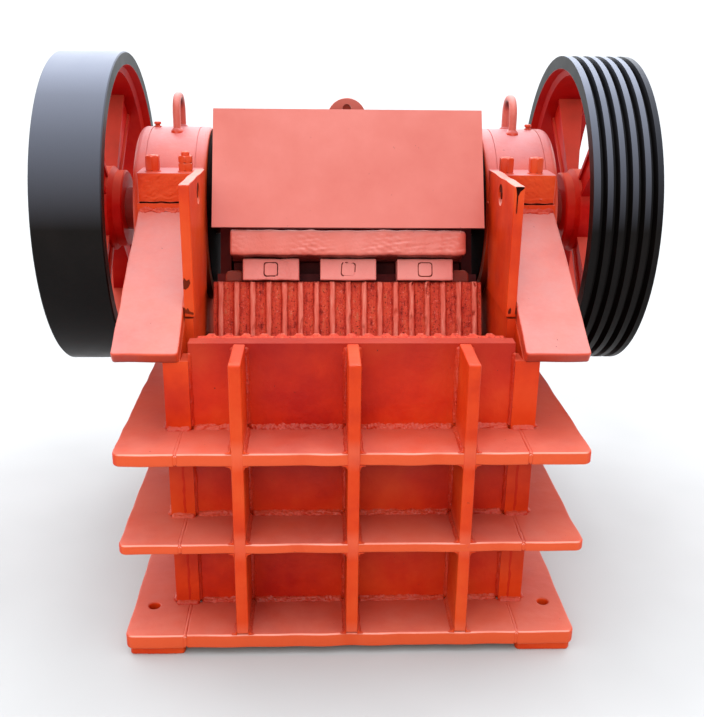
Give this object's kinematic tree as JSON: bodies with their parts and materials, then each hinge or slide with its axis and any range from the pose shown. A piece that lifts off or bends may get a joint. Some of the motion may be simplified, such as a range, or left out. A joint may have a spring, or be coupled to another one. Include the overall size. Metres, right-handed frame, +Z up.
{
  "type": "jaw crusher",
  "caption": "Welded-frame jaw crusher with an overhead eccentric, a ridged swing jaw, a flywheel and a grooved belt pulley.",
  "frame": {"origin": "middle of the machine's footprint, on the floor under the feet", "axes": "+X across the machine towards the belt pulley, +Y from the feed side to the rear, +Z up"},
  "size_m": [1.634, 1.5, 1.389],
  "materials": {
    "red_paint": "gloss orange-red enamel over rough plate",
    "wheel_paint": "dark blue-grey turned rim with red spokes",
    "manganese_steel": "cast manganese steel with thin red paint and rust",
    "bare_steel": "machined, oiled"
  },
  "bodies": {
    "frame": {"front_wall": "red_paint", "front_flange_base": "red_paint", "front_flange_middle": "red_paint", "front_flange_upper": "red_paint", "front_rib_left": "red_paint", "front_rib_centre": "red_paint", "front_rib_right": "red_paint", "fixed_jaw_plate": "manganese_steel", "rear_wall": "red_paint", "rear_flange_base": "red_paint", "rear_flange_middle": "red_paint", "rear_flange_upper": "red_paint", "toggle_beam": "red_paint", "toggle_plate": "bare_steel", "tension_rod": "bare_steel", "tension_spring": "bare_steel", "side_wall_left": "red_paint", "side_wall_right": "red_paint", "side_flange_base_left": "red_paint", "side_flange_base_right": "red_paint", "side_flange_middle_left": "red_paint", "side_flange_middle_right": "red_paint", "side_flange_upper_left": "red_paint", "side_flange_upper_right": "red_paint", "sloped_flange_left": "red_paint", "sloped_flange_right": "red_paint", "bearing_housing_left": "red_paint", "bearing_housing_right": "red_paint", "lifting_loop_left": "red_paint", "lifting_loop_right": "red_paint", "guard_plate_left": "red_paint", "guard_plate_right": "red_paint", "cheek_plate_left": "manganese_steel", "cheek_plate_right": "manganese_steel"},
    "rotor": {"eccentric_shaft": "bare_steel", "flywheel": "wheel_paint", "drive_pulley": "wheel_paint"},
    "jaw": {"swing_jaw": "red_paint", "moving_jaw_plate": "manganese_steel", "ledge_bar": "red_paint", "wedge_block_left": "red_paint", "wedge_block_centre": "red_paint", "wedge_block_right": "red_paint", "cover_plate": "red_paint", "lifting_lug": "red_paint"}
  },
  "joints": [
    {"name": "shaft_spin", "type": "hinge", "parent": "frame", "child": "rotor", "pos_m": [0, 0.131, 0.942], "axis": [1, 0, 0], "continuous": true},
    {"name": "jaw_swing", "type": "hinge", "parent": "rotor", "child": "jaw", "pos_m": [0, 0.141, 0.942], "axis": [1, 0, 0], "continuous": true}
  ],
  "couplings": [
    {"joint": "jaw_swing", "follows": "shaft_spin", "ratio": -1}
  ]
}
